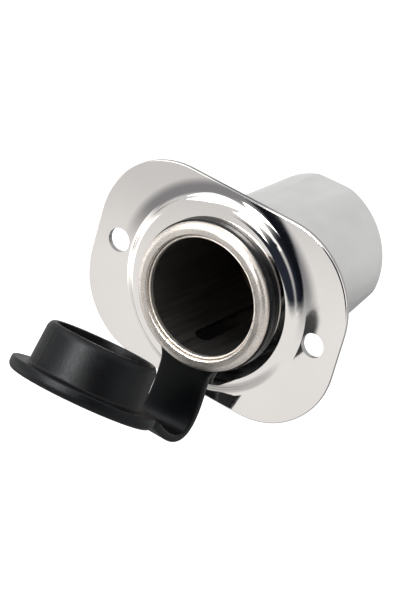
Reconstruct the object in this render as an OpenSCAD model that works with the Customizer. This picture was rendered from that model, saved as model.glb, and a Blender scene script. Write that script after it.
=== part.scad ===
// Flush mounted 12 V accessory socket with a rubber cap on a strap.
// Row frame: the origin is the centre of the back face of the flange, X runs along the
// flange, Z is up and the mouth of the socket faces -Y. Every module draws its piece in
// the socket frame (x right, y up, z out of the mouth) and facing() turns it into place.

/* [Flange] */
// Flat land beside the foot of the dome, above and below
flange_margin = 0.4; // [0.35:0.05:2]
// Distance from a screw hole's centre to the end of the flange
hole_edge = 5; // [4:0.1:8]
// Land between the foot of the dome and the edge of a screw hole
hole_land = 0.05; // [0.05:0.05:3]
// Corner radius of the flange plate
flange_corner = 15; // [12:0.1:17]
// Thickness of the pressed sheet
flange_t = 1; // [0.8:0.1:1.4]
// Rounding of the edge of the plate
flange_edge = 0.3; // [0.1:0.05:0.35]
// Diameter of a screw hole
screw_hole_d = 4.4; // [3.2:0.1:4.6]

/* [Dome] */
// Height of the flat top of the dome above the plate
dome_rise = 1.65; // [1.3:0.05:2]
// Flat top of the dome outside the collar
dome_land = 1.9; // [1.5:0.1:2.4]
// Radius of the convex shoulder of the dome
dome_shoulder = 1.9; // [1.6:0.1:2]
// Radius of the concave foot of the dome
dome_foot = 1.85; // [1.6:0.05:1.9]

/* [Barrel] */
// Bore that takes the plug
bore_d = 21.2; // [21:0.1:21.4]
// Wall of the slotted contact sleeve
sleeve_t = 0.4; // [0.3:0.05:0.45]
// Radial clearance round the sleeve
sleeve_fit = 0.05; // [0.03:0.01:0.08]
// Wall of the barrel
barrel_t = 0.7; // [0.6:0.05:0.8]
// Depth from the back of the flange to the floor of the barrel
barrel_depth = 27.5; // [26:0.5:29]
// Thickness of the floor of the barrel
barrel_floor_t = 1.2; // [1:0.1:1.5]
// Width of the rim outside the sleeve's seat
rim_w = 2.25; // [2:0.05:2.6]
// Thickness of the rim
rim_t = 1.43; // [1.3:0.01:1.8]
// Rounding of the outer edge of the rim
rim_round = 1.15; // [0.8:0.05:1.25]
// Rounding of the inner edge of the rim
rim_inner_round = 0.35; // [0.2:0.05:0.5]
// How far the mouth of the sleeve lies behind the front of the rim
sleeve_set_back = 0.5; // [0.3:0.05:0.9]
// Number of slots in the sleeve
slot_count = 2; // [1:1:4]
// Angle of the first slot
slot_angle = -98; // [-180:1:180]
// Width of a slot
slot_w = 3; // [2:0.1:4]
// Distance of the near end of a slot behind the back of the flange
slot_start = 1; // [0:0.1:4]
// Unslotted length at the rear end of the sleeve
slot_end = 1.3; // [1:0.1:8]

/* [Rear boss and contact] */
// Outer radius of the threaded boss behind the floor
boss_r = 5; // [4.6:0.1:5.4]
// Bore radius of the boss
boss_bore_r = 3.6; // [3.4:0.1:3.8]
// Thickness of the floor insulator under the contact head
insulator_t = 2.7; // [2.2:0.1:3]
// Width of the raised edge of the insulator that carries the sleeve
insulator_edge = 1.5; // [1:0.1:2.5]
// Length of the insulator's neck inside the boss
insulator_neck = 4; // [3:0.1:5]
// Radius of the contact stem
stem_r = 2; // [1.8:0.05:2.1]
// Radius of the contact head
contact_head_r = 3.8; // [3.2:0.1:4.5]
// Height of the contact head
contact_head_h = 1.5; // [1.2:0.1:2]
// Clearance between pieces that pass through one another
pass_gap = 0.1; // [0.06:0.01:0.15]

/* [Clamp shell] */
// Space between the barrel and the shell
shell_space = 0.9; // [0.6:0.05:1.4]
// Wall of the shell
shell_t = 0.9; // [0.7:0.05:1]
// Distance from the floor of the barrel to the rear face of the shell
shell_tail = 5.15; // [4:0.05:7]
// Rounding of the rear edge of the shell
shell_edge = 0.45; // [0.3:0.05:0.6]
// Depth of the crimped flats at the rear edge
flat_depth = 0.55; // [0.2:0.05:0.7]
// Angle of the first crimped flat
flat_angle = -28; // [-60:1:60]
// Depth of the creases at the rear edge
crease_depth = 0.22; // [0.1:0.02:0.3]
// Radius of the creasing tool
crease_r = 1.4; // [1:0.1:2]
// Angle of the first crease
crease_angle = 47; // [40:1:60]
// Number of crimped flats, and of creases
crimp_count = 3; // [3:1:3]

/* [Fasteners and terminals] */
// Thickness of the sheet of both terminals
terminal_t = 0.8; // [0.7:0.05:0.9]
// Width of a terminal blade
blade_w = 6.3; // [6.3:0.1:6.3]
// Length of a terminal blade behind its bend
blade_len = 9; // [8:0.5:10]
// Hole in the blade
blade_hole_d = 1.6; // [1.4:0.1:1.8]
// Radius of the ring end of the ground terminal
ground_ring_r = 8; // [7.8:0.1:8.4]
// Radius of the ring end of the feed terminal
feed_ring_r = 4.6; // [4.4:0.1:5]
// Inside radius of a terminal bend
bend_r = 0.8; // [0.6:0.1:1]
// Distance from a ring end to the middle of its bend
blade_stand_off = 1.6; // [1.6:0.1:2]
// Thickness of the toothed washer
clamp_washer_t = 0.8; // [0.6:0.1:1]
// Number of teeth on the toothed washer
washer_teeth = 14; // [10:1:18]
// Width across the flats of the clamp nut
clamp_nut_af = 14; // [13:0.5:15]
// Thickness of the clamp nut
clamp_nut_t = 2.6; // [2.4:0.1:3]
// Thickness of the rear insulating washer
rear_insulator_t = 1; // [0.8:0.1:1.3]
// Radius of the rear insulating washer
rear_insulator_r = 6; // [5.6:0.1:6.5]
// Thickness of the plain washer
stud_washer_t = 0.6; // [0.5:0.1:0.8]
// Radius of the plain washer
stud_washer_r = 4.4; // [4.2:0.1:4.6]
// Thickness of the split washer
lock_washer_t = 0.9; // [0.8:0.1:1.1]
// Radius of the split washer
lock_washer_r = 3.7; // [3.5:0.1:3.9]
// Width across the flats of the stud nut
stud_nut_af = 7; // [6.5:0.5:7.5]
// Thickness of the stud nut
stud_nut_t = 2.8; // [2.6:0.1:3.2]
// Length of the stem beyond the stud nut
stem_over = 1; // [0.5:0.1:1.5]

/* [Collar and strap] */
// Thickness of the rubber collar
collar_t = 1.5; // [1.3:0.05:1.8]
// How far the collar stands out beyond the rim
collar_over = 0.3; // [0.1:0.05:0.8]
// Radial clearance of collar and flange round the barrel
collar_fit = 0.25; // [0.2:0.05:0.4]
// Rounding of the collar
collar_round = 0.35; // [0.2:0.05:0.5]
// Width of the strap
strap_w = 9.8; // [8:0.1:11]
// Thickness of the strap
strap_t = 1.5; // [1.3:0.05:1.8]
// Length of the collar's tongue at the root of the strap
root_len = 2.4; // [2:0.1:3]
// How far the strap's curve is drawn down from the collar
root_pull = 16.3; // [15:0.1:18]
// How far the strap runs straight before the fold
fold_pull = 1.5; // [1:0.1:2.5]
// Number of short lengths in the strap
strap_steps = 24; // [16:1:32]

/* [Cap] */
// How far the cap stands out beyond the rim
cap_over = 0.1; // [0:0.1:0.6]
// Thickness of the cap
cap_t = 2.3; // [2:0.1:3]
// Rounding of the outer edge of the cap
cap_round = 1.15; // [0.8:0.05:1.3]
// Rounding of the inner edge of the cap
cap_inner_round = 0.3; // [0.2:0.05:0.5]
// Length of the plug
plug_len = 8; // [6:0.1:8.4]
// Radial clearance of the plug in the bore, at the cap
plug_fit = 0.15; // [0.12:0.01:0.35]
// How much the plug's radius narrows towards its end
plug_taper = 0.3; // [0.1:0.05:0.5]
// Wall of the plug
plug_wall = 1.4; // [1.2:0.1:2]
// Gap between the closed cap and the rim
cap_seat_gap = 0.1; // [0.05:0.05:0.2]
// Distance of the fold line beyond the edge of the cap
fold_beyond = 1.75; // [1.5:0.05:2.2]
// Clearance between plug and rim when the cap has been pulled straight out
pull_clear = 0.3; // [0.2:0.1:1]
// Angle by which the cap swings aside once it is out
open_angle = 68.5; // [60:0.5:75]
// Turn of the swing's axis, which carries the cap to one side
swing_turn = -8; // [-12:0.5:0]
// Tilt of the swing's axis out of the plane of the flange
swing_tilt = 15.5; // [0:0.5:20]
// Height of the swing's axis, below the axis of the bore
swing_y = -17.1; // [-19:0.1:-15]
// Distance of the swing's axis in front of the back of the flange
swing_z = 10.3; // [9:0.1:12]

/* [Hidden] */
$fn = 96;
eps = 0.01;
big = 80;

bore_r = bore_d/2;
sleeve_r = bore_r + sleeve_t;
barrel_in = sleeve_r + sleeve_fit;
barrel_r = barrel_in + barrel_t;
centre_hole_r = barrel_r + collar_fit;
rim_r = barrel_in + rim_w;
collar_r = rim_r + collar_over;
dome_top_r = collar_r + dome_land;
shell_r = barrel_r + shell_space + shell_t;
dome_front = flange_t + dome_rise;
rim_back = dome_front + collar_t;
rim_front = rim_back + rim_t;

// The dome's S curve is two arcs that touch at the inflection.
dome_run = sqrt(2*(dome_shoulder + dome_foot)*dome_rise - pow(dome_rise, 2));
dome_foot_x = dome_top_r + dome_run;
dome_slope = acos(dome_run/(dome_shoulder + dome_foot));

// The outline and the screw holes follow the dome.
flange_width = 2*(dome_foot_x + flange_margin);
hole_x = dome_foot_x + hole_land + screw_hole_d/2;
flange_length = 2*(hole_x + hole_edge);

// Stack along the axis, towards the rear.
barrel_floor = -barrel_depth;
boss_start = barrel_floor - barrel_floor_t;
insulator_front = barrel_floor + insulator_t;
seat_front = insulator_front + contact_head_h;
shell_rear = boss_start - shell_tail;
ground_rear = shell_rear - terminal_t;
clamp_washer_rear = ground_rear - clamp_washer_t;
clamp_nut_rear = clamp_washer_rear - clamp_nut_t;
boss_rear = clamp_nut_rear - 0.4;
rear_insulator_rear = boss_rear - rear_insulator_t;
feed_rear = rear_insulator_rear - terminal_t;
stud_washer_rear = feed_rear - stud_washer_t;
lock_washer_rear = stud_washer_rear - lock_washer_t;
stud_nut_rear = lock_washer_rear - stud_nut_t;
stem_rear = stud_nut_rear - stem_over;

// The slots stop short of the sleeve's rear end.
slot_near = -slot_start;
slot_far = seat_front + slot_end;

// The closed cap, and the fold line in its closed and resting places.
cap_r = rim_r + cap_over;
root_y = collar_r + root_len;
cap_seat = rim_front + cap_seat_gap;
cap_face = cap_seat + cap_t;
plug_r = bore_r - plug_fit;
fold_y = -(cap_r + fold_beyond);
fold_z_closed = cap_face - strap_t/2;
pull_out = plug_len + pull_clear;

// The cap is pulled straight out and then swings about a tilted axis.
swing_pole = [0, swing_y, swing_z];
swing_axis = [cos(swing_tilt)*cos(swing_turn), cos(swing_tilt)*sin(swing_turn), sin(swing_tilt)];
function turned(v) = v*cos(open_angle) + cross(swing_axis, v)*sin(open_angle)
    + swing_axis*(swing_axis*v)*(1 - cos(open_angle));
function swung(p) = swing_pole + turned(p - swing_pole);

// The strap's middle line, from the collar's tongue to the fold line of the resting cap.
strap_gap = 0.1;
strap_start = [0, -root_y - strap_gap, dome_front + strap_t/2];
fold_gap = 0.45;
strap_end = swung([0, fold_y - fold_gap, fold_z_closed + pull_out]);
strap_down = strap_start - [0, root_pull, 0];
strap_back = strap_end + fold_pull*unit(strap_down - strap_end);
function unit(v) = v/norm(v);

// Turns the socket frame into the row frame, with the mouth towards -Y.
module facing() rotate([90, 0, 0]) children();

// A ring between two planes, both faces flat.
module ring(r_out, r_in, z_low, z_high) {
    translate([0, 0, z_low]) difference() {
        cylinder(r = r_out, h = z_high - z_low);
        translate([0, 0, -1]) cylinder(r = r_in, h = z_high - z_low + 2);
    }
}

// Section of a band whose two upper corners are round.
module round_band(r_in, r_out, z_low, z_high, in_round, out_round) {
    intersection() {
        union() {
            translate([r_in, z_low]) square([r_out - r_in, z_high - z_low - out_round]);
            translate([r_in, z_low])
                square([r_out - out_round - r_in, z_high - z_low - in_round]);
            translate([r_in + in_round, z_low])
                square([r_out - out_round - r_in - in_round, z_high - z_low]);
            translate([r_out - out_round, z_high - out_round]) circle(out_round, $fn = 48);
            translate([r_in + in_round, z_high - in_round]) circle(in_round, $fn = 48);
        }
        translate([r_in, z_low]) square([r_out - r_in, z_high - z_low]);
    }
}

// Section of a disc from the axis out to r, with both outer corners round.
module disc_section(r, z_low, z_high, low_round, high_round) {
    intersection() {
        union() {
            translate([0, z_low]) square([r - low_round, z_high - z_low - high_round]);
            translate([0, z_low]) square([r - max(low_round, high_round), z_high - z_low]);
            translate([0, z_low + low_round])
                square([r, z_high - z_low - low_round - high_round]);
            translate([0, z_low + low_round])
                square([r - high_round, z_high - z_low - low_round]);
            translate([r - low_round, z_low + low_round]) circle(low_round, $fn = 48);
            translate([r - high_round, z_high - high_round]) circle(high_round, $fn = 48);
        }
        translate([0, z_low]) square([r, z_high - z_low]);
    }
}

// Section across the edge of the plate, from its middle out to half_width.
module plate_section(half_width) {
    edge = flange_edge;
    square([half_width - edge, flange_t]);
    translate([0, edge]) square([half_width, flange_t - 2*edge]);
    for (z = [edge, flange_t - edge])
        translate([half_width - edge, z]) circle(edge, $fn = 32);
}

// A straight bar of the plate, half_width to each side of the x axis.
module plate_bar(length, half_width) {
    for (side = [0, 180]) rotate([0, 0, side]) rotate([90, 0, 90])
        linear_extrude(height = length, center = true) plate_section(half_width);
}

module plate() {
    corner_x = flange_length/2 - flange_corner;
    corner_y = flange_width/2 - flange_corner;
    for (x = [-corner_x, corner_x], y = [-corner_y, corner_y])
        translate([x, y, 0]) rotate_extrude() plate_section(flange_corner);
    plate_bar(2*corner_x, flange_width/2);
    rotate([0, 0, 90]) plate_bar(2*corner_y, flange_length/2);
}

// A band between two radii along an arc.
module arc_band(centre, r_in, r_out, from, to) {
    middle = (from + to)/2;
    translate(centre) intersection() {
        difference() {
            circle(r_out);
            circle(r_in);
        }
        polygon([[0, 0], for (a = [from, middle, to]) big*[cos(a), sin(a)]]);
    }
}

// Section of the dome's sheet, from the centre hole out to the foot.
module dome_section() {
    shoulder_at = [dome_top_r, dome_front - dome_shoulder];
    foot_at = [dome_foot_x, flange_t + dome_foot];
    translate([centre_hole_r, dome_rise])
        square([dome_top_r - centre_hole_r, flange_t]);
    arc_band(shoulder_at, dome_shoulder - flange_t, dome_shoulder, dome_slope, 90);
    arc_band(foot_at, dome_foot, dome_foot + flange_t, 180 + dome_slope, 270);
}

module flange_plate() color("gainsboro") facing() {
    difference() {
        plate();
        translate([0, 0, -1]) cylinder(r = dome_foot_x, h = flange_t + 2);
        for (side = [-1, 1]) translate([side*hole_x, 0, -1])
            cylinder(d = screw_hole_d, h = flange_t + 2);
    }
    rotate_extrude() dome_section();
}

// Place, course and width direction of the strap, from 0 at the collar to 1 at the fold.
function strap_place(t) = pow(1 - t, 3)*strap_start + 3*t*pow(1 - t, 2)*strap_down
    + 3*t*t*(1 - t)*strap_back + pow(t, 3)*strap_end;
function strap_course(t) = pow(1 - t, 2)*(strap_down - strap_start)
    + 2*t*(1 - t)*(strap_back - strap_down) + t*t*(strap_end - strap_back);
function strap_side(t) = unit([1, 0, 0] + t*t*(3 - 2*t)*(turned([1, 0, 0]) - [1, 0, 0]));

// Four corners of the strap at one place along it.
function strap_corners(t) = let(
    side = strap_w/2*strap_side(t),
    through = strap_t/2*unit(cross(strap_course(t), side))
) [for (c = [[-1, -1], [1, -1], [1, 1], [-1, 1]]) strap_place(t) + c[0]*side + c[1]*through];

module strap_band() {
    corners = [for (i = [0 : strap_steps]) each strap_corners(i/strap_steps)];
    last = 4*strap_steps;
    sides = [for (i = [0 : strap_steps - 1], k = [0 : 3])
        let(a = 4*i + k, b = 4*i + (k + 1)%4) each [[a, a + 4, b + 4], [a, b + 4, b]]];
    polyhedron(corners, concat([[0, 1, 2, 3]], sides, [[last + 3, last + 2, last + 1, last]]));
}

// Extrudes an outline of the z and y plane along x.
module across(width) rotate([0, -90, 0]) linear_extrude(height = width, center = true)
    children();

module cap_strap() color("dimgray") facing() strap_band();

module cap_collar() color("dimgray") facing() {
    difference() {
        union() {
            rotate_extrude()
                round_band(centre_hole_r, collar_r, dome_front, rim_back, 0.1, collar_round);
            translate([-strap_w/2, -root_y, dome_front])
                cube([strap_w, root_y - barrel_r, collar_t]);
        }
        translate([0, 0, dome_front - 1]) cylinder(r = centre_hole_r, h = collar_t + 2);
    }
}

// Moves the closed cap to where the strap holds it open.
module opened() translate(swing_pole) rotate(a = open_angle, v = swing_axis)
    translate([0, 0, pull_out] - swing_pole) children();

module plug_section() {
    tip = cap_seat - plug_len;
    tip_round = plug_wall/2;
    tip_mid = plug_r - plug_taper - tip_round;
    polygon([
        [plug_r, cap_seat + eps], [tip_mid + tip_round, tip + tip_round],
        [tip_mid - tip_round, tip + tip_round], [plug_r - plug_wall, cap_seat + eps]
    ]);
    translate([tip_mid, tip + tip_round]) circle(tip_round, $fn = 48);
}

module rubber_cap() color("dimgray") facing() opened() {
    rotate_extrude() {
        disc_section(cap_r, cap_seat, cap_face, cap_inner_round, cap_round);
        plug_section();
    }
    translate([-strap_w/2, fold_y, cap_face - strap_t])
        cube([strap_w, fold_beyond + cap_round, strap_t]);
}

module socket_barrel() color("silver") facing() {
    rotate_extrude() {
        round_band(barrel_in, rim_r, rim_back, rim_front, rim_inner_round, rim_round);
        difference() {
            disc_section(barrel_r, boss_start, rim_back + eps, barrel_floor_t, eps);
            translate([0, barrel_floor]) square([barrel_in, big]);
            translate([0, boss_start - 1]) square([boss_bore_r, big]);
        }
        translate([boss_bore_r, boss_rear])
            square([boss_r - boss_bore_r, boss_start - boss_rear + eps]);
    }
}

// One slot of the sleeve, along the bore at the given angle.
module sleeve_slot(angle) {
    near = slot_near - slot_w/2;
    far = slot_far + slot_w/2;
    rotate([0, 0, angle]) rotate([0, 90, 0]) {
        translate([-near, -slot_w/2, bore_r - 2]) cube([near - far, slot_w, 4]);
        for (z = [near, far]) translate([-z, 0, bore_r - 2]) cylinder(d = slot_w, h = 4);
    }
}

module contact_sleeve() color("silver") facing() {
    mouth = rim_front - sleeve_set_back;
    lip = sleeve_t/2 - eps;
    difference() {
        rotate_extrude() round_band(bore_r, sleeve_r, seat_front, mouth, lip, lip);
        for (i = [0 : slot_count - 1]) sleeve_slot(slot_angle + i*360/slot_count);
    }
}

// The shell as a solid, moved inwards by inset, with its flats and creases.
module shell_form(inset, z_low, z_high, edge) {
    run = dome_front - flange_t - shell_rear;
    flat_tilt = atan(flat_depth/run);
    crease_tilt = atan(crease_depth/run);
    difference() {
        rotate_extrude() disc_section(shell_r - inset, z_low, z_high, edge, eps);
        for (i = [0 : crimp_count - 1]) {
            rotate([0, 0, flat_angle + i*360/crimp_count])
                translate([shell_r - flat_depth - inset, 0, shell_rear])
                rotate([0, flat_tilt, 0]) translate([0, -big/2, -eps]) cube(big);
            rotate([0, 0, crease_angle + i*360/crimp_count])
                translate([shell_r + crease_r - crease_depth, 0, shell_rear])
                rotate([0, crease_tilt, 0]) translate([0, 0, -1])
                cylinder(r = crease_r + inset, h = run + 4);
        }
    }
}

module clamp_shell() color("lightgray") facing() {
    shell_front = dome_front - flange_t;
    difference() {
        shell_form(0, shell_rear, shell_front, shell_edge);
        shell_form(shell_t, shell_rear + shell_t, shell_front + 1, eps);
        translate([0, 0, shell_rear - 1])
            cylinder(r = boss_r + pass_gap, h = shell_t + 2);
    }
}

module base_insulator() color("saddlebrown") facing() {
    neck_rear = boss_start - insulator_neck + barrel_floor_t;
    outer = barrel_in - pass_gap;
    ring(outer, stem_r + pass_gap, barrel_floor, insulator_front);
    ring(outer, outer - insulator_edge, insulator_front - eps, seat_front);
    ring(boss_bore_r - pass_gap, stem_r + pass_gap, neck_rear, barrel_floor + eps);
}

module centre_contact() color("goldenrod") facing() {
    rotate_extrude() disc_section(contact_head_r, insulator_front,
        insulator_front + contact_head_h, eps, contact_head_h*0.6);
    translate([0, 0, stem_rear]) cylinder(r = stem_r, h = insulator_front - stem_rear + eps);
}

module boss_bush() color("saddlebrown") facing() {
    bush_front = boss_start - insulator_neck + barrel_floor_t;
    ring(boss_bore_r - pass_gap, stem_r + pass_gap, boss_rear, bush_front);
}

// A ring end with a blade that turns to the rear, drawn towards -y.
module terminal(ring_r, hole_r, z_front) {
    z_rear = z_front - terminal_t;
    turn = [z_rear - bend_r, -ring_r - blade_stand_off + bend_r];
    blade_y = turn[1] - bend_r - terminal_t;
    blade_rear = turn[0] - blade_len;
    difference() {
        union() {
            ring(ring_r, hole_r, z_rear, z_front);
            across(blade_w) {
                translate([z_rear, turn[1]]) square([terminal_t, -turn[1] - hole_r]);
                translate([turn[0], blade_y]) mirror([1, 0])
                    square([blade_len, terminal_t]);
                translate(turn) intersection() {
                    difference() {
                        circle(bend_r + terminal_t, $fn = 48);
                        circle(bend_r, $fn = 48);
                    }
                    translate([0, -big]) square(big);
                }
            }
        }
        translate([0, 0, z_rear - 1]) cylinder(r = hole_r, h = terminal_t + 2);
        translate([0, blade_y + terminal_t + 1, turn[0] - 0.7*blade_len])
            rotate([90, 0, 0]) cylinder(d = blade_hole_d, h = terminal_t + 2);
        for (side = [-1, 1]) translate([side*blade_w/2, blade_y + terminal_t/2, blade_rear])
            rotate([0, 45, 0]) cube([1.8, 2*terminal_t, 1.8], center = true);
    }
}

module ground_terminal() color("silver") facing()
    terminal(ground_ring_r, boss_r + pass_gap, shell_rear);

module feed_terminal() color("goldenrod") facing() rotate([0, 0, -90])
    terminal(feed_ring_r, stem_r + pass_gap, rear_insulator_rear);

module clamp_washer() color("silver") facing() {
    washer_r = clamp_nut_af/2/cos(30);
    difference() {
        ring(washer_r, boss_r + pass_gap, clamp_washer_rear, ground_rear);
        for (i = [0 : washer_teeth - 1]) rotate([0, 0, i*360/washer_teeth])
            translate([washer_r, 0, clamp_washer_rear - 1]) rotate([0, 0, 45])
            cube([1.3, 1.3, 2*clamp_washer_t + 4], center = true);
    }
}

// A hex nut with turned corners.
module hex_nut(flats, bore, z_low, z_high) {
    difference() {
        intersection() {
            translate([0, 0, z_low])
                cylinder(d = flats/cos(30), h = z_high - z_low, $fn = 6);
            rotate_extrude() disc_section(flats/2/cos(30), z_low, z_high, 0.5, 0.5);
        }
        translate([0, 0, z_low - 1]) cylinder(r = bore, h = z_high - z_low + 2);
    }
}

module clamp_nut() color("silver") facing()
    hex_nut(clamp_nut_af, boss_r + pass_gap/2, clamp_nut_rear, clamp_washer_rear);

module rear_insulator() color("saddlebrown") facing()
    ring(rear_insulator_r, stem_r + pass_gap, rear_insulator_rear, boss_rear);

module stud_washer() color("silver") facing()
    ring(stud_washer_r, stem_r + pass_gap, stud_washer_rear, feed_rear);

module stud_lock_washer() color("silver") facing() {
    difference() {
        ring(lock_washer_r, stem_r + pass_gap, lock_washer_rear, stud_washer_rear);
        translate([0, stem_r, (lock_washer_rear + stud_washer_rear)/2]) rotate([0, 30, 0])
            cube([0.5, 2*lock_washer_r - stem_r, 4*lock_washer_t], center = true);
    }
}

module stud_nut() color("goldenrod") facing()
    hex_nut(stud_nut_af, stem_r + pass_gap/2, stud_nut_rear, lock_washer_rear);

flange_plate();
cap_collar();
cap_strap();
rubber_cap();
socket_barrel();
contact_sleeve();
clamp_shell();
base_insulator();
centre_contact();
boss_bush();
ground_terminal();
clamp_washer();
clamp_nut();
rear_insulator();
feed_terminal();
stud_washer();
stud_lock_washer();
stud_nut();
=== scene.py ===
from math import cos, exp, pi, radians, sin, tan

import bmesh
import bpy
from mathutils import Matrix, Vector


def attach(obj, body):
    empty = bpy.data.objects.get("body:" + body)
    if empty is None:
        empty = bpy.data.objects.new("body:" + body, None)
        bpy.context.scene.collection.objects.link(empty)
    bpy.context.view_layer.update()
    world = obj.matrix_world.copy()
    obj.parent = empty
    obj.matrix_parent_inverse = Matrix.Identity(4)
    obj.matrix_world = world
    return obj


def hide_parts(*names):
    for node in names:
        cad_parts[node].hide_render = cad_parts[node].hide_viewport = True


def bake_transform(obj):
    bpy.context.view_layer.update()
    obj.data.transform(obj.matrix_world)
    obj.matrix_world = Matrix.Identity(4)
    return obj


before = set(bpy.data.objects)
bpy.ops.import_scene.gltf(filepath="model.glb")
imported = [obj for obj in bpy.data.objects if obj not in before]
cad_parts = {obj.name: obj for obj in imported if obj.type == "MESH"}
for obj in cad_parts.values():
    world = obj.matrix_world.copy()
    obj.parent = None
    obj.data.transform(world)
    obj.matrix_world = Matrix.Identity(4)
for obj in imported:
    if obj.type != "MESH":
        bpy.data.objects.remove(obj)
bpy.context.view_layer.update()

# Sizes of the part, in millimetres. Axial frame: x right, y up, z out of the mouth.
DOME_FRONT, RIM_BACK = 2.65, 4.15
COLLAR_R, CENTRE_HOLE_R = 13.6, 12.0
CAP_R, CAP_SEAT, CAP_FACE = 13.4, 5.68, 7.98
PLUG_R, PLUG_TAPER, PLUG_WALL, PLUG_LEN = 10.45, 0.3, 1.4, 8.0
STRAP_W, STRAP_T, STRAP_GAP = 9.8, 1.5, 0.1
ROOT_Y, ROOT_PULL, FOLD_PULL = 16.0, 16.3, 1.5
STEM_REAR, STEM_R, STUD_NUT_REAR = -45.55, 2.0, -44.55
# How the cap opens: straight out, then round a tilted axis. Angles in degrees.
PULL_OUT, OPEN_ANGLE, SWING_TURN, SWING_TILT = 8.3, 68.5, -8, 15.5
SWING_POLE = Vector((0, -17.1, 10.3))
FOLD = Vector((0, -15.15, CAP_FACE - STRAP_T / 2))
# The crease at the foot of the dome: its radius, tilt in degrees and length of its run-out.
FOOT_R, CREASE_TILT, CREASE_FADE = 18.61, 4.0, 1.3
# Roundings that only the scene has: of the collar, of the strap's edges and of the cap.
COLLAR_BACK_ROUND, COLLAR_ROUND = 0.15, 0.4
STRAP_ROUND = 0.42
HOLLOW_ROUND, ROOT_FILLET = 0.8, 0.55
DISC_BACK_ROUND, DISC_ROUND = 0.35, 1.15
# The lip of the plug: rounding inside, width and height of the long rounding outside.
LIP_IN, LIP_W, LIP_H = 0.3, 1.0, 1.6
# Extra rings in the flat faces of the cap.
INNER_RING, OUTER_RING = 4.0, 9.0
# The collar's tongue along y.
TONGUE_START, TONGUE_END = -12.4, -15.6
# What the strap gains on each side: at its root, halfway and where it joins the disc.
ROOT_FLARE, STRAP_BULGE, LUG_FLARE = 0.9, 0.25, 1.1
# The lug of the cap above the fold: where it leaves the strap and where it ends in the disc.
LUG_START, LUG_END = 1.5, 3.6
# The flash from the two halves of the mould: angles and spread in degrees, and height.
MOULD_LINES, FLASH_SPREAD, FLASH = (-78, 102), 1.1, 0.07
# The thread on the end of the stem, which starts inside the nut, and the chamfer of its end.
PITCH, THREAD_DEPTH, THREAD_IN_NUT, THREAD_SLACK = 0.7, 0.198, 0.6, 0.01
CHAMFER, CHAMFER_LEN = 0.3, 0.35
# Where the looks change, in metres of the row frame: the black inside the barrel, the end of the
# sleeve's bright lip, the upper part of the crease (its tilt and its painted shade), the corner of
# the plate that painted shade darkens and the underside of the shell, darkened by painted shade.
BLACK_R, BLACK_Y = 0.0114, -0.0035
LIP_TO_DARK = (-0.0047, -0.0041)
UPPER_CREASE, CORNER_PAINTED_SHADE, UNDERSIDE = (-0.002, 0.010), (0.002, 0.023), (-0.004, 0.016)


def row(p):
    """Axial frame in millimetres to the row frame in metres."""
    return (p[0] / 1000, -p[2] / 1000, p[1] / 1000)


tilt, turn = radians(SWING_TILT), radians(SWING_TURN)
swing_axis = Vector((cos(tilt) * cos(turn), cos(tilt) * sin(turn), sin(tilt)))
SWING = Matrix.Rotation(radians(OPEN_ANGLE), 3, swing_axis)


def opened(p):
    """A point of the closed cap, where the strap holds it open."""
    return SWING_POLE + SWING @ (Vector(p) + Vector((0, 0, PULL_OUT)) - SWING_POLE)


def smooth(t):
    t = min(1, max(0, t))
    return t * t * (3 - 2 * t)


def placed(name, data):
    """A new object in the scene."""
    obj = bpy.data.objects.new(name, data)
    bpy.context.scene.collection.objects.link(obj)
    return obj


# ---------------------------------------------------------------- meshes


class Skin:
    """Faces in the axial frame that share their corners."""

    def __init__(self):
        self.points, self.index, self.faces = [], {}, []

    def corner(self, p):
        key = tuple(round(c, 4) for c in p)
        if key not in self.index:
            self.index[key] = len(self.points)
            self.points.append(p)
        return self.index[key]

    def face(self, *ps):
        ids = []
        for p in ps:
            i = self.corner(p)
            if i not in ids:
                ids.append(i)
        if len(ids) > 2:
            self.faces.append(ids)

    def grid(self, rows, close_rows=False, close_columns=False):
        n, m = len(rows), len(rows[0])
        for i in range(n if close_rows else n - 1):
            for j in range(m if close_columns else m - 1):
                a, b = rows[i], rows[(i + 1) % n]
                k = (j + 1) % m
                self.face(a[j], a[k], b[k], b[j])

    def tube(self, rows):
        """Closed rings, with a face over each end."""
        self.grid(rows, close_columns=True)
        self.face(*rows[0])
        self.face(*rows[-1])

    def build(self, name, material, body=None, blend=None, sharp=32):
        mesh = bpy.data.meshes.new(name)
        mesh.from_pydata([row(p) for p in self.points], [], self.faces)
        mesh.validate()
        obj = placed(name, mesh)
        normals_out(mesh)
        for f in mesh.polygons:
            f.use_smooth = True
        mesh.set_sharp_from_angle(angle=radians(sharp))
        mesh.materials.append(material)
        if blend:
            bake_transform(obj)
        else:
            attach(obj, body)
        return obj


def normals_out(mesh):
    bm = bmesh.new()
    bm.from_mesh(mesh)
    bmesh.ops.recalc_face_normals(bm, faces=bm.faces)
    bm.to_mesh(mesh)
    bm.free()


def arc(cx, cy, r, start, end, n):
    """Points of an arc, angles in degrees."""
    angles = [radians(start + (end - start) * i / n) for i in range(n + 1)]
    return [(cx + r * cos(a), cy + r * sin(a)) for a in angles]


def between(a, b, n):
    """The points that cut the line from a to b into n equal pieces, without its ends."""
    return [tuple(p + (q - p) * k / n for p, q in zip(a, b)) for k in range(1, n)]


def lathe(profile, segments, place=lambda p: p, shape=None):
    """Turns a profile of (radius, z) round the axis; shape(radius, z, angle) may move a point."""
    rows = []
    for i in range(segments):
        a = 2 * pi * i / segments
        ring = []
        for r, z in profile:
            rr, zz = shape(r, z, a) if shape else (r, z)
            ring.append(place((rr * cos(a), rr * sin(a), zz)))
        rows.append(ring)
    return rows


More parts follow.
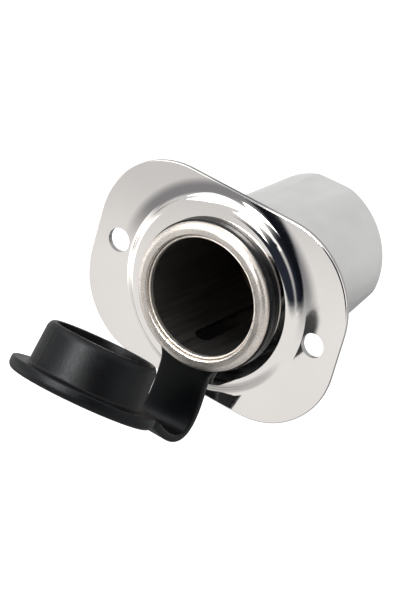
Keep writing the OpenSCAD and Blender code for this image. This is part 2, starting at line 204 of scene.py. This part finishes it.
def strap_section(wider):
    """The section of the strap round (0, 0), as (across, through)."""
    out = []
    w, t = STRAP_W / 2 + wider - STRAP_ROUND, STRAP_T / 2 - STRAP_ROUND
    for cx, cy, start in ((w, t, 0), (-w, t, 90), (-w, -t, 180), (w, -t, 270)):
        out += arc(cx, cy, STRAP_ROUND, start, start + 90, 6)
        if start in (0, 180):
            x, y = out[-1]
            out += between((x, y), (x - 2 * cx, y), 8)
    return out


def sweep(path):
    """Rings of the strap's section along a path of (place, side, through, wider)."""
    return [
        [place + side * x + through * y for x, y in strap_section(wider)]
        for place, side, through, wider in path
    ]


# ---------------------------------------------------------------- materials


class Nodes:
    """The nodes of a material, or of the world."""

    def __init__(self, name, owner=None):
        self.owner = owner or bpy.data.materials.new(name)
        self.owner.use_nodes = True
        self.tree = self.owner.node_tree
        self.shader = self.tree.nodes.get("Principled BSDF")

    def add(self, kind, **inputs):
        node = self.tree.nodes.new(kind)
        for key, value in inputs.items():
            if hasattr(node, key):
                setattr(node, key, value)
            else:
                self.put(node.inputs[key.replace("_", " ")], value)
        return node

    def put(self, socket, value):
        if hasattr(value, "is_output"):
            self.tree.links.new(value, socket)
        else:
            socket.default_value = value

    def set(self, **inputs):
        for key, value in inputs.items():
            self.put(self.shader.inputs[key.replace("_", " ")], value)

    def surface(self, node):
        """Shows a node in place of the plain shader."""
        self.put(self.tree.nodes["Material Output"].inputs["Surface"], node.outputs[0])

    def coords(self):
        return self.add("ShaderNodeTexCoord").outputs["Object"]

    def xyz(self, vector=None):
        parts = self.add("ShaderNodeSeparateXYZ", Vector=vector or self.coords()).outputs
        return parts["X"], parts["Y"], parts["Z"]

    def normal(self):
        return self.add("ShaderNodeNewGeometry").outputs["Normal"]

    def stretched(self, scale):
        return self.add("ShaderNodeMapping", Vector=self.coords(), Scale=scale).outputs[0]

    def noise(self, vector, scale, detail=3, rough=0.5):
        node = self.add("ShaderNodeTexNoise", Vector=vector, Scale=scale, Detail=detail, Roughness=rough)
        return node.outputs["Fac"]

    def ramp(self, value, *stops):
        node = self.add("ShaderNodeValToRGB")
        self.put(node.inputs[0], value)
        elements = node.color_ramp.elements
        for element, (pos, colour) in zip(elements, stops):
            element.position = pos
            element.color = colour if isinstance(colour, tuple) else (colour, colour, colour, 1)
        return node.outputs[0]

    def bump(self, height, distance, strength=1.0, normal=None):
        node = self.add("ShaderNodeBump", Height=height, Distance=distance, Strength=strength)
        if normal:
            self.put(node.inputs["Normal"], normal)
        return node.outputs[0]

    def math(self, operation, *values):
        node = self.add("ShaderNodeMath", operation=operation)
        for socket, value in zip(node.inputs, values):
            self.put(socket, value)
        return node.outputs[0]

    def times(self, first, *others):
        for value in others:
            first = self.math("MULTIPLY", first, value)
        return first

    def length(self, a, b):
        return self.math("SQRT", self.math("ADD", self.times(a, a), self.times(b, b)))

    def degrees(self, angle):
        return self.times(angle, 180 / pi)

    def vector(self, operation, a, b=None, scale=None):
        node = self.add("ShaderNodeVectorMath", operation=operation)
        self.put(node.inputs[0], a)
        if b is not None:
            self.put(node.inputs[1], b)
        if scale is not None:
            self.put(node.inputs["Scale"], scale)
        return node.outputs[0]

    def step(self, value, low, high, kind="SMOOTHSTEP"):
        """From 0 at low to 1 at high, smooth unless kind is LINEAR."""
        node = self.add("ShaderNodeMapRange", interpolation_type=kind, Value=value)
        self.put(node.inputs["From Min"], low)
        self.put(node.inputs["From Max"], high)
        return node.outputs[0]

    def band(self, value, start, full, still_full, end):
        """From 0 at start to 1 at full, and back to 0 between still_full and end."""
        rise = self.step(value, start, full)
        fall = self.math("SUBTRACT", 1.0, self.step(value, still_full, end))
        return self.times(rise, fall)

    def mix(self, fac, a, b):
        node = self.add("ShaderNodeMix", data_type="RGBA")
        for i, value in ((0, fac), (6, a), (7, b)):
            self.put(node.inputs[i], value)
        return node.outputs[2]


def polished_steel():
    """Pressed sheet: the crease round the foot of the dome runs out softly into the plate."""
    n = Nodes("polished_steel")
    x, _, z = n.xyz()
    out = n.length(x, z)
    upper = n.step(z, *UPPER_CREASE)
    beyond = n.math("MAXIMUM", n.math("SUBTRACT", out, FOOT_R / 1000), 0.0)
    run_out = n.math("EXPONENT", n.times(beyond, -1000 / CREASE_FADE))
    on_plate = n.math("GREATER_THAN", out, (FOOT_R - 0.02) / 1000)
    slope = n.times(run_out, on_plate, n.math("DIVIDE", tan(radians(CREASE_TILT)), out), upper)
    radial = n.add("ShaderNodeCombineXYZ", X=x, Z=z).outputs[0]
    tilted = n.vector("NORMALIZE", n.vector("ADD", n.vector("SCALE", radial, scale=slope), n.normal()))
    # Painted dark reflection: a dark band in the crease, and a plate that darkens towards its upper left.
    crease = n.band(out, *((FOOT_R + d) / 1000 for d in (-1.5, -0.7, 0.2, 2.8)))
    corner = n.step(n.math("MULTIPLY_ADD", x, -0.3, z), *CORNER_PAINTED_SHADE)
    shade = n.math("MAXIMUM", n.times(crease, upper, 0.8), n.times(corner, 0.27))
    clean = n.ramp(n.noise(n.coords(), 60, 2), (0.3, (0.89, 0.85, 0.815, 1)), (0.75, (0.945, 0.91, 0.875, 1)))
    # The cut edges of the sheet are duller than its faces.
    facing = n.step(n.math("ABSOLUTE", n.xyz(n.normal())[1]), 0.1, 0.5)
    plain = n.mix(facing, (0.42, 0.41, 0.40, 1), clean)
    fine = n.noise(n.stretched((900, 900, 900)), 1.0, 3)
    n.set(
        Base_Color=n.mix(shade, plain, (0.10, 0.10, 0.11, 1)),
        Metallic=1.0,
        Roughness=n.ramp(fine, (0.35, 0.04), (0.8, 0.075)),
        Normal=n.bump(n.noise(n.coords(), 55, 2, 0.4), 0.00003, 0.35, tilted),
    )
    return n.owner


def nickel():
    """Grained plating outside and on the rim, black inside the barrel."""
    n = Nodes("grained_nickel")
    x, y, z = n.xyz()
    within = n.times(n.math("LESS_THAN", n.length(x, z), BLACK_R), n.math("GREATER_THAN", y, BLACK_Y))
    grain = n.noise(n.coords(), 5200, 3, 0.65)
    plating = n.ramp(grain, (0.32, (0.46, 0.425, 0.385, 1)), (0.6, (0.84, 0.785, 0.725, 1)))
    n.set(
        Base_Color=n.mix(within, plating, (0.003, 0.003, 0.004, 1)),
        Metallic=n.math("SUBTRACT", 1.0, within),
        Roughness=n.ramp(n.noise(n.coords(), 240, 2), (0.3, 0.30), (0.8, 0.40)),
        Normal=n.bump(grain, 0.00008, 0.6),
    )
    return n.owner


def dark_sleeve():
    """Blackened spring sheet with a bright lip."""
    n = Nodes("dark_sleeve")
    inside = n.step(n.xyz()[1], *LIP_TO_DARK, "LINEAR")
    streak = n.noise(n.stretched((1500, 60, 1500)), 1.0, 2)
    dark = n.ramp(streak, (0.3, (0.022, 0.021, 0.021, 1)), (0.8, (0.06, 0.055, 0.052, 1)))
    n.set(
        Base_Color=n.mix(inside, (0.75, 0.70, 0.64, 1), dark),
        Metallic=n.math("SUBTRACT", 1.0, inside),
        Roughness=n.ramp(streak, (0.3, 0.42), (0.8, 0.6)),
        Specular_IOR_Level=0.25,
    )
    return n.owner


def zinc(name, base, rough, stretch, shade):
    """Satin plating with fine lines; shade sets how much painted shade darkens the underside."""
    n = Nodes(name)
    lines = n.noise(n.stretched(stretch), 1.0, 3, 0.6)
    low = tuple(c * 0.9 for c in base) + (1,)
    cloudy = n.ramp(n.noise(n.coords(), 110, 3), (0.3, low), (0.7, base + (1,)))
    # Painted shade: the lower part of the shell is mixed towards dark grey.
    under = n.times(n.step(n.times(n.xyz()[2], -1.0), *UNDERSIDE), shade)
    n.set(
        Base_Color=n.mix(under, cloudy, (0.1, 0.1, 0.1, 1)),
        Metallic=0.85,
        Roughness=n.ramp(lines, (0.3, rough), (0.75, rough + 0.12)),
        Normal=n.bump(lines, 0.00002, 0.5),
    )
    return n.owner


def rubber():
    """Moulded rubber with a mottled sheen and a little dust."""
    n = Nodes("black_rubber")
    grain = n.noise(n.coords(), 4200, 2, 0.6)
    cloud = n.noise(n.coords(), 150, 4, 0.6)
    speck = n.noise(n.coords(), 1500, 2, 0.7)
    mottle = n.noise(n.coords(), 2600, 3, 0.75)
    dust = n.times(n.ramp(cloud, (0.45, 0.0), (0.75, 1.0)), n.ramp(speck, (0.5, 0.0), (0.72, 1.0)))
    satin = n.math("ADD", n.ramp(cloud, (0.3, 0.34), (0.75, 0.50)), n.ramp(mottle, (0.35, 0.0), (0.7, 0.09)))
    n.set(
        Base_Color=n.mix(dust, (0.0008, 0.001, 0.0016, 1), (0.008, 0.008, 0.009, 1)),
        Roughness=satin,
        Specular_IOR_Level=0.2,
        Specular_Tint=(0.94, 0.97, 1.0, 1),
        Normal=n.bump(mottle, 0.00003, 0.5, n.bump(grain, 0.00004, 0.5, n.bump(cloud, 0.0001, 0.35))),
    )
    return n.owner


def phenolic():
    n = Nodes("phenolic")
    fibre = n.noise(n.stretched((300, 4000, 300)), 1.0, 3)
    n.set(
        Base_Color=n.ramp(fibre, (0.3, (0.07, 0.032, 0.014, 1)), (0.75, (0.15, 0.07, 0.03, 1))),
        Roughness=n.ramp(fibre, (0.3, 0.4), (0.8, 0.55)),
        Normal=n.bump(fibre, 0.00003, 0.4),
    )
    return n.owner


def brass():
    n = Nodes("plain_brass")
    cloud = n.noise(n.coords(), 300, 3)
    fine = n.noise(n.stretched((1800, 300, 1800)), 1.0, 2)
    n.set(
        Base_Color=n.ramp(cloud, (0.3, (0.62, 0.44, 0.18, 1)), (0.75, (0.80, 0.62, 0.30, 1))),
        Metallic=1.0,
        Roughness=n.ramp(fine, (0.3, 0.24), (0.8, 0.36)),
        Normal=n.bump(fine, 0.00002, 0.4),
    )
    return n.owner


RUBBER, BRASS = rubber(), brass()
for material, nodes in (
    (polished_steel(), ("flange_plate",)),
    (nickel(), ("socket_barrel",)),
    (dark_sleeve(), ("contact_sleeve",)),
    (phenolic(), ("base_insulator", "boss_bush", "rear_insulator")),
    (BRASS, ("centre_contact", "feed_terminal", "stud_nut")),
    (zinc("satin_zinc", (0.69, 0.688, 0.68), 0.42, (400, 30, 400), 0.1), ("clamp_shell",)),
    (
        zinc("bright_zinc", (0.72, 0.73, 0.75), 0.26, (900, 900, 900), 0.0),
        ("ground_terminal", "clamp_washer", "clamp_nut", "stud_washer", "stud_lock_washer"),
    ),
):
    for node in nodes:
        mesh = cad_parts[node].data
        for i in range(len(mesh.materials)):
            mesh.materials[i] = material

# ---------------------------------------------------------------- collar

MID_Z = DOME_FRONT + STRAP_T / 2
collar = Skin()
profile = (
    [(CENTRE_HOLE_R, DOME_FRONT)]
    + arc(COLLAR_R - COLLAR_BACK_ROUND, DOME_FRONT + COLLAR_BACK_ROUND, COLLAR_BACK_ROUND, -90, 0, 4)
    + arc(COLLAR_R - COLLAR_ROUND, RIM_BACK - COLLAR_ROUND, COLLAR_ROUND, 0, 90, 8)
    + [(CENTRE_HOLE_R, RIM_BACK)]
)
collar.grid(lathe(profile, 256), close_rows=True, close_columns=True)
tongue = []
for k in range(9):
    y = TONGUE_START + (TONGUE_END - TONGUE_START) * k / 8
    flare = ROOT_FLARE * max(0, 1 - k / 7) ** 2
    tongue.append([(across, y, MID_Z + through) for across, through in strap_section(flare)])
collar.tube(tongue)
collar_obj = collar.build("collar_skin", RUBBER, body="socket")
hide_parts("cap_collar")

# ---------------------------------------------------------------- strap

RIGHT, UP, OUT = Vector((1, 0, 0)), Vector((0, 1, 0)), Vector((0, 0, 1))
strap_start = Vector((0, -ROOT_Y - STRAP_GAP, MID_Z))
strap_end = opened(FOLD - UP * STRAP_GAP)
strap_down = strap_start - UP * ROOT_PULL
strap_back = strap_end + (strap_down - strap_end).normalized() * FOLD_PULL


def strap_frame(t):
    """Place, side, through direction and extra width, from 0 at the collar to 1 at the fold."""
    s = 1 - t
    place = (
        s ** 3 * strap_start
        + 3 * t * s ** 2 * strap_down
        + 3 * t * t * s * strap_back
        + t ** 3 * strap_end
    )
    course = (
        s ** 2 * (strap_down - strap_start)
        + 2 * t * s * (strap_back - strap_down)
        + t * t * (strap_end - strap_back)
    )
    side = RIGHT.lerp(SWING @ RIGHT, smooth(t)).normalized()
    return place, side, course.cross(side).normalized(), STRAP_BULGE * sin(pi * t)


def root_frame(share):
    """The same on the straight stretch between the tongue and the curve."""
    return Vector((0, TONGUE_END + (strap_start.y - TONGUE_END) * share, MID_Z)), RIGHT, OUT, 0


def lug_frame(along, wider):
    """The same on the lug of the cap."""
    return opened(FOLD) + SWING @ UP * along, SWING @ RIGHT, SWING @ OUT, wider


def strip(name, path, *blend):
    skin = Skin()
    skin.tube(sweep(path))
    return skin.build(name, RUBBER, blend=blend)


# The strap is cut at this share of its curve, because a piece may blend over one joint only.
CUT = 0.35
run_path = [root_frame(k / 3) for k in range(3)] + [strap_frame(CUT * k / 30) for k in range(31)]
loop_path = [strap_frame(CUT + (1 - CUT) * k / 60) for k in range(61)]
loop_path += [lug_frame(LUG_START * k / 5, 0) for k in range(6)]
run_obj = strip("strap_run", run_path, "socket", "strap", row(strap_start), row(run_path[-1][0]))
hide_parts("cap_strap")
strip("strap_loop", loop_path, "strap", "cap", row(loop_path[0][0]), row(strap_end))

# ---------------------------------------------------------------- cap

cap = Skin()
tip = CAP_SEAT - PLUG_LEN
lip_out = PLUG_R - PLUG_TAPER
lip_in = lip_out - PLUG_WALL
hollow_r = PLUG_R - PLUG_WALL


def cap_shape(r, z, a):
    """Adds the flash left by the two halves of the mould, half as high on the disc."""
    off = min(abs((a - radians(m) + pi) % (2 * pi) - pi) for m in MOULD_LINES)
    ridge = FLASH * exp(-((off / radians(FLASH_SPREAD)) ** 2))
    # Outside the plug, short of its root; then on the edge of the disc.
    if r > (lip_in + lip_out) / 2 + 0.2 and z < CAP_SEAT - 0.1:
        r += ridge
    elif r > CAP_R - 0.6:
        r += 0.5 * ridge
    return r, z


lip = []
for k in range(13):
    a = pi / 24 * k
    lip.append((lip_out - LIP_W + LIP_W * sin(a), tip + LIP_H - LIP_H * cos(a)))
profile = (
    [(0.0, CAP_SEAT), (INNER_RING, CAP_SEAT)]
    + arc(hollow_r - HOLLOW_ROUND, CAP_SEAT - HOLLOW_ROUND, HOLLOW_ROUND, 90, 0, 8)
    + between((hollow_r, CAP_SEAT - HOLLOW_ROUND), (lip_in, tip + PLUG_WALL / 2), 8)
    + arc(lip_in + LIP_IN, tip + LIP_IN, LIP_IN, 180, 270, 5)
    + lip
    + between((lip_out, tip + LIP_H), (PLUG_R, CAP_SEAT - ROOT_FILLET), 8)
    + arc(PLUG_R + ROOT_FILLET, CAP_SEAT - ROOT_FILLET, ROOT_FILLET, 180, 90, 6)
    + arc(CAP_R - DISC_BACK_ROUND, CAP_SEAT + DISC_BACK_ROUND, DISC_BACK_ROUND, -90, 0, 5)
    + arc(CAP_R - DISC_ROUND, CAP_FACE - DISC_ROUND, DISC_ROUND, 0, 90, 10)
    + [(OUTER_RING, CAP_FACE), (INNER_RING, CAP_FACE), (0.0, CAP_FACE)]
)
cap.grid(lathe(profile, 360, opened, cap_shape), close_rows=True)
lug = [lug_frame(LUG_START + (LUG_END - LUG_START) * k / 8, LUG_FLARE * (k / 8) ** 2) for k in range(9)]
cap.tube(sweep(lug))
cap_obj = cap.build("cap_skin", RUBBER, body="cap")
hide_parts("rubber_cap")

# ---------------------------------------------------------------- stud thread

THREAD_SEGMENTS, STEPS_PER_TURN = 64, 8
thread = Skin()
rows = []
thread_len = STUD_NUT_REAR + THREAD_IN_NUT - STEM_REAR
for i in range(int(round(thread_len / PITCH * STEPS_PER_TURN)) + 1):
    z = STEM_REAR + i * PITCH / STEPS_PER_TURN
    ring = []
    for j in range(THREAD_SEGMENTS):
        a = 2 * pi * j / THREAD_SEGMENTS
        phase = ((z - STEM_REAR) / PITCH - j / THREAD_SEGMENTS) % 1
        groove = THREAD_DEPTH * (1 - abs(2 * phase - 1))
        chamfer = CHAMFER * max(0, 1 - (z - STEM_REAR) / CHAMFER_LEN)
        r = STEM_R - groove - chamfer - THREAD_SLACK
        ring.append((r * cos(a), r * sin(a), z))
    rows.append(ring)
thread.tube(rows)
thread.build("stem_thread", BRASS, body="socket", sharp=50)

# ---------------------------------------------------------------- floor, world and lamps

WHITE = (1, 1, 1, 1)
# The floor, in metres, and the glow it has where the camera sees it.
FLOOR_Z, FLOOR_HALF, FLOOR_GLOW = -0.05, 3, 0.5
# Strength of the world as a light, what is added where the camera sees it, and the share of
# that which reflections see.
LIGHT_LEVEL, SEEN_LEVEL, GLOSSY_SHARE = 0.55, 0.45, 0.6


def direction(az, el):
    """Unit vector; azimuth from +X towards +Y, in degrees."""
    a, e = radians(az), radians(el)
    return Vector((cos(a) * cos(e), sin(a) * cos(e), sin(e)))


mesh = bpy.data.meshes.new("floor")
corners = [(x * FLOOR_HALF, y * FLOOR_HALF, FLOOR_Z) for x, y in ((-1, -1), (1, -1), (1, 1), (-1, 1))]
mesh.from_pydata(corners, [], [(0, 1, 2, 3)])
floor = placed("floor", mesh)
floor.visible_glossy = False
n = Nodes("pale_floor")
n.set(Base_Color=(0.82, 0.82, 0.82, 1), Roughness=0.9)
glow = n.add("ShaderNodeEmission", Color=WHITE)
n.put(glow.inputs["Strength"], n.times(n.add("ShaderNodeLightPath").outputs["Is Camera Ray"], FLOOR_GLOW))
both = n.add("ShaderNodeAddShader")
n.put(both.inputs[0], n.shader.outputs[0])
n.put(both.inputs[1], glow.outputs[0])
n.surface(both)
mesh.materials.append(n.owner)

world = bpy.data.worlds.new("studio")
bpy.context.scene.world = world
n = Nodes("studio", world)
ray = n.add("ShaderNodeLightPath").outputs
seen = n.math("MAXIMUM", ray["Is Camera Ray"], ray["Is Transmission Ray"])
seen = n.math("MULTIPLY_ADD", ray["Is Glossy Ray"], GLOSSY_SHARE, seen)
background = n.tree.nodes["Background"].inputs
n.put(background["Color"], WHITE)
n.put(background["Strength"], n.math("MULTIPLY_ADD", seen, SEEN_LEVEL, LIGHT_LEVEL))


def softbox(name, az, el, distance, width, height, watts):
    """A rectangular lamp that faces the origin. Angles in degrees, lengths in metres."""
    data = bpy.data.lights.new(name, "AREA")
    data.shape = "RECTANGLE"
    data.size, data.size_y, data.energy = width, height, watts
    obj = placed(name, data)
    d = direction(az, el)
    obj.location = d * distance
    obj.rotation_euler = d.to_track_quat("Z", "Y").to_euler()


softbox("key_left", -155, 42, 0.9, 0.7, 0.7, 2.8)
softbox("top", -80, 75, 0.9, 0.9, 0.7, 2.3)
softbox("fill_right", 10, 25, 1.1, 0.7, 0.7, 1.0)

# ---------------------------------------------------------------- what reflections see

# Screens with soft edges. Radii in metres, azimuths and elevations in degrees.
SCREEN_R, WINDOW_R = 0.6, 0.58
DARK = (0.02, 0.024, 0.036, 1)
WEDGE_AZ, WEDGE_EL = -118.5, -21.5


def screen(name, azimuths, elevations, radius):
    """Part of a sphere round the origin that only reflections see, with its nodes for a material."""
    corners = [direction(a, e) * radius for e in elevations for a in azimuths]
    across = len(azimuths)
    starts = [k for k in range(len(corners) - across) if k % across < across - 1]
    mesh = bpy.data.meshes.new(name)
    mesh.from_pydata(corners, [], [(k, k + 1, k + across + 1, k + across) for k in starts])
    obj = placed(name, mesh)
    obj.visible_camera = obj.visible_diffuse = obj.visible_transmission = False
    obj.visible_shadow = obj.visible_volume_scatter = False
    n = Nodes(name)
    mesh.materials.append(n.owner)
    x, y, z = n.xyz()
    azimuth = n.degrees(n.math("ARCTAN2", y, x))
    elevation = n.degrees(n.math("ARCSINE", n.math("DIVIDE", z, radius)))
    return n, azimuth, elevation


def emit(n, share, colour, strength):
    """Glows where share is 1 and is clear where it is 0."""
    glow = n.add("ShaderNodeEmission", Color=colour, Strength=strength)
    clear = n.add("ShaderNodeBsdfTransparent")
    mixed = n.add("ShaderNodeMixShader")
    for socket, value in zip(mixed.inputs, (share, clear.outputs[0], glow.outputs[0])):
        n.put(socket, value)
    n.surface(mixed)


# The dark side of the room: a wedge that opens up and to the right from the direction which the
# flat plate mirrors.
n, azimuth, elevation = screen("dark_room", range(-124, 17, 3), range(-30, 61, 3), SCREEN_R)
aside = n.math("SUBTRACT", azimuth, WEDGE_AZ)
above = n.math("SUBTRACT", elevation, WEDGE_EL)
rise = n.degrees(n.math("ARCTAN2", above, aside))
emit(n, n.times(n.band(rise, 6, 18, 52, 70), n.band(n.length(aside, above), 1, 5, 92, 118)), DARK, 1.0)

# The dark table, which the undersides see. It starts higher behind the part.
n, azimuth, elevation = screen("dark_table", range(-180, 181, 6), range(-90, 1, 6), SCREEN_R)
fall = n.times(elevation, -1.0)
front = n.times(n.step(fall, 46, 72), 0.4)
behind = n.times(n.step(fall, 8, 40), n.band(azimuth, 5, 45, 178, 181), 0.65)
emit(n, n.math("MAXIMUM", front, behind), DARK, 1.0)

# A tall narrow window in front, and a weaker one at the left.
n, azimuth, elevation = screen("window", range(-118, -87, 2), range(4, 57, 2), WINDOW_R)
share = n.times(n.band(azimuth, -115, -110, -98, -92), n.band(elevation, 9, 14, 42, 54))
emit(n, share, (1, 0.98, 0.96, 1), 30.0)
n, azimuth, elevation = screen("side_window", range(-180, -143, 3), range(-38, 2, 2), WINDOW_R)
share = n.times(n.band(azimuth, -179, -170, -155, -147), n.band(elevation, -37, -27, -12, -2))
emit(n, share, WHITE, 2.5)

# ---------------------------------------------------------------- camera

# The camera fitted to the photo: focal length and height of the picture in pixels, the
# directions that point right and down in it, and the camera's place in metres.
FOCAL_PX, PHOTO_HEIGHT_PX, SENSOR_MM = 3205.7, 601, 36
right = Vector((0.7981, 0.5480, 0.2504)).normalized()
down = Vector((0.4387, -0.2438, -0.8649))
CAMERA_PLACE = Vector((0.2274, -0.4457, 0.2390))

camera = bpy.data.cameras.new("camera")
camera.lens = FOCAL_PX * SENSOR_MM / PHOTO_HEIGHT_PX
camera.sensor_width = SENSOR_MM
camera.clip_start, camera.clip_end = 0.01, 20
camera.dof.use_dof = False
camera_obj = placed("camera", camera)
down = (down - right * down.dot(right)).normalized()
camera_obj.matrix_world = Matrix((right, -down, -right.cross(down))).transposed().to_4x4()
camera_obj.matrix_world.translation = CAMERA_PLACE
scene = bpy.context.scene
scene.camera = camera_obj
scene.view_settings.view_transform = "Standard"

bpy.context.view_layer.update()
